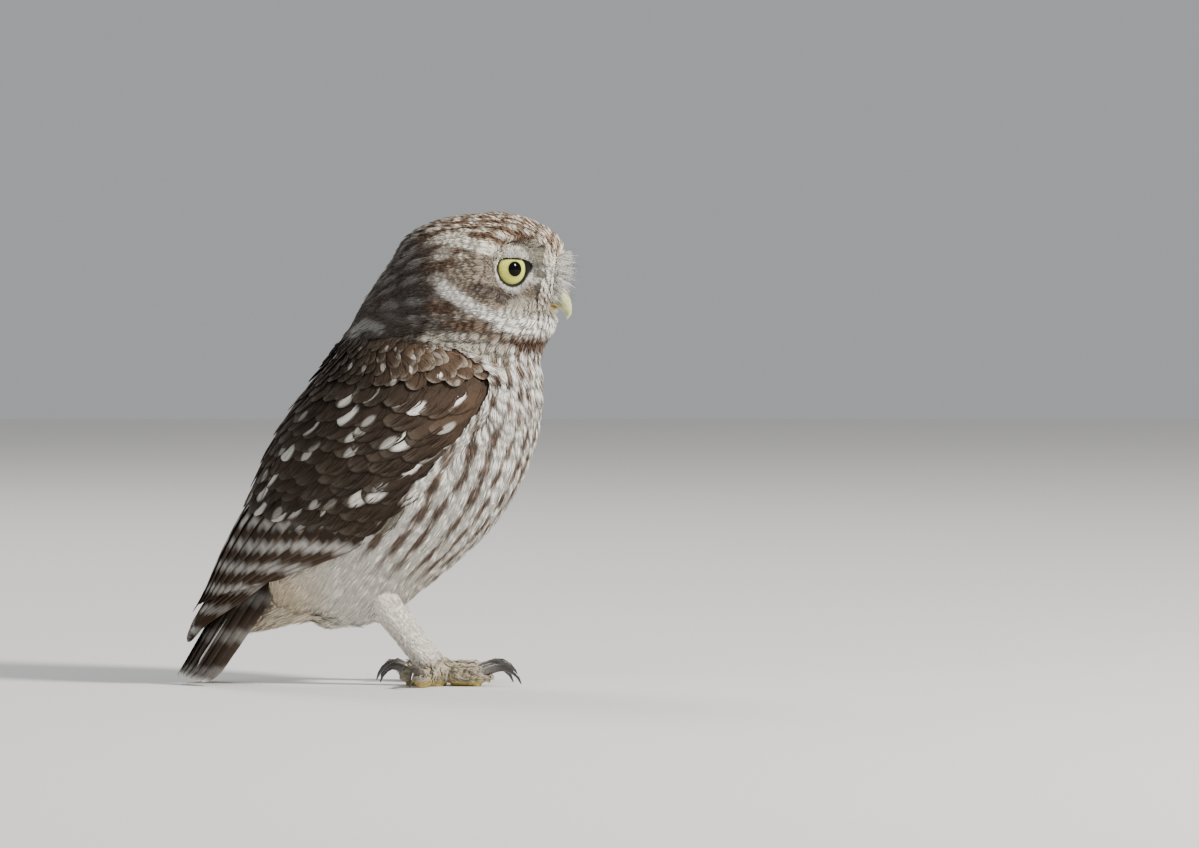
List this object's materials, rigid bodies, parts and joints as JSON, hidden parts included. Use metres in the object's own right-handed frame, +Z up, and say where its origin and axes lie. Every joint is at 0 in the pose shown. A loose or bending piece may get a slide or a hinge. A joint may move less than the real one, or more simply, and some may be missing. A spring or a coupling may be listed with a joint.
{
  "type": "little owl model",
  "caption": "Life-size model of a little owl standing still with folded wings, its head turned slightly to its right and its tail tip resting on the ground.",
  "frame": {"origin": "on the ground, under the middle of the bounding box", "axes": "+X the way the body faces, +Y its left side, +Z up"},
  "size_m": [0.1542, 0.087, 0.1845],
  "materials": {
    "plumage_brown": "soft brown feathers with white spots",
    "plumage_pale": "soft cream feathers with brown streaks",
    "flight_feathers": "smooth brown vanes with pale bars",
    "bill": "smooth yellow-green horn",
    "eye": "wet pale yellow with a black pupil",
    "eyelid": "dark bare skin",
    "toe": "bristled skin with yellow pads",
    "claw": "dark polished horn"
  },
  "bodies": {
    "root": {"head": "plumage_brown", "neck": "plumage_pale", "breast": "plumage_pale", "belly": "plumage_pale", "undertail": "plumage_pale", "tail": "flight_feathers", "mantle": "plumage_brown", "bill_upper": "bill", "bill_lower": "bill", "eye_right": "eye", "eyelids_right": "eyelid", "wing_coverts_right": "plumage_brown", "wing_secondaries_right": "flight_feathers", "wing_primaries_right": "flight_feathers", "thigh_right": "plumage_pale", "shank_right": "plumage_pale", "foot_right": "toe", "toe_hind_right": "toe", "claw_hind_right": "claw", "toe_inner_right": "toe", "claw_inner_right": "claw", "toe_middle_right": "toe", "claw_middle_right": "claw", "toe_outer_right": "toe", "claw_outer_right": "claw", "eye_left": "eye", "eyelids_left": "eyelid", "wing_coverts_left": "plumage_brown", "wing_secondaries_left": "flight_feathers", "wing_primaries_left": "flight_feathers", "thigh_left": "plumage_pale", "shank_left": "plumage_pale", "foot_left": "toe", "toe_hind_left": "toe", "claw_hind_left": "claw", "toe_inner_left": "toe", "claw_inner_left": "claw", "toe_middle_left": "toe", "claw_middle_left": "claw", "toe_outer_left": "toe", "claw_outer_left": "claw"}
  },
  "joints": []
}
